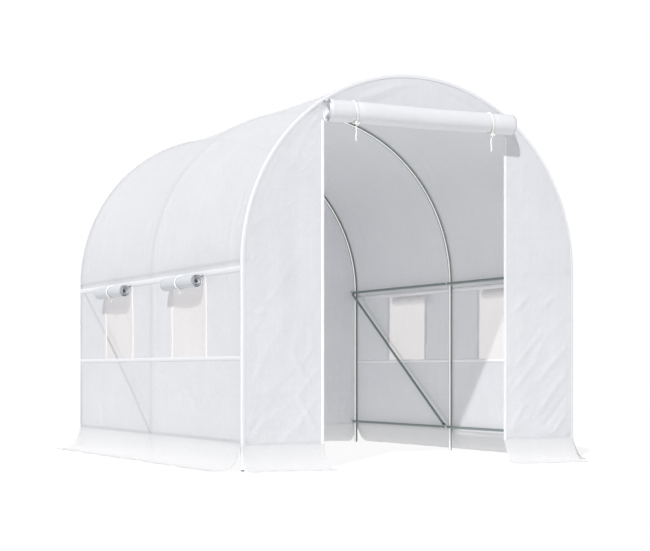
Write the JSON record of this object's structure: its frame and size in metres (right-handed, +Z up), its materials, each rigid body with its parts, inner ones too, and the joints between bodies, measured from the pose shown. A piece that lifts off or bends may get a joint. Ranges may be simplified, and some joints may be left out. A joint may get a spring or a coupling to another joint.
{
  "type": "polytunnel greenhouse",
  "caption": "Walk-in polytunnel: fabric cover over tubular steel hoops, with a rolled-up front door, netted side windows and ground skirts.",
  "frame": {"origin": "middle of the plan at ground level, under the crown of the middle hoop", "axes": "+X is the width, to the right of somebody who looks in at the door; +Y runs from the door to the rear wall; +Z is up"},
  "size_m": [2.3, 2.8, 2.0348],
  "materials": {
    "steel_tube": "satin galvanised steel tube",
    "cover_cloth": "translucent white woven polyethylene sheet, slight sheen",
    "skirt_cloth": "white woven polyethylene sheet",
    "insect_net": "fine white insect net with a white binding",
    "rolled_cloth": "rolled white woven polyethylene sheet",
    "tie_cord": "off-white braided cord"
  },
  "bodies": {
    "root": {"hoop_front_leg_left": "steel_tube", "hoop_front_leg_right": "steel_tube", "hoop_front_arch_left": "steel_tube", "hoop_front_arch_right": "steel_tube", "hoop_middle_leg_left": "steel_tube", "hoop_middle_leg_right": "steel_tube", "hoop_middle_arch_left": "steel_tube", "hoop_middle_arch_right": "steel_tube", "hoop_rear_leg_left": "steel_tube", "hoop_rear_leg_right": "steel_tube", "hoop_rear_arch_left": "steel_tube", "hoop_rear_arch_right": "steel_tube", "waist_rail_left": "steel_tube", "waist_rail_right": "steel_tube", "base_rail_left": "steel_tube", "base_rail_right": "steel_tube", "brace_left": "steel_tube", "brace_right": "steel_tube", "cover_roof": "cover_cloth", "cover_wall_left": "cover_cloth", "cover_wall_right": "cover_cloth", "front_panel_left": "cover_cloth", "front_panel_right": "cover_cloth", "front_header": "cover_cloth", "rear_wall": "cover_cloth", "skirt_left": "skirt_cloth", "skirt_right": "skirt_cloth", "skirt_front_left": "skirt_cloth", "skirt_front_right": "skirt_cloth", "skirt_rear": "skirt_cloth", "window_net_front_left": "insect_net", "window_net_rear_left": "insect_net", "window_net_front_right": "insect_net", "window_net_rear_right": "insect_net", "window_roll_front_left": "rolled_cloth", "window_roll_rear_left": "rolled_cloth", "window_roll_front_right": "rolled_cloth", "window_roll_rear_right": "rolled_cloth", "door_roll": "rolled_cloth", "window_ties_left": "tie_cord", "window_ties_right": "tie_cord", "door_tie_left": "tie_cord", "door_tie_right": "tie_cord", "door_tie_tail_left": "tie_cord", "door_tie_tail_right": "tie_cord"}
  },
  "joints": []
}
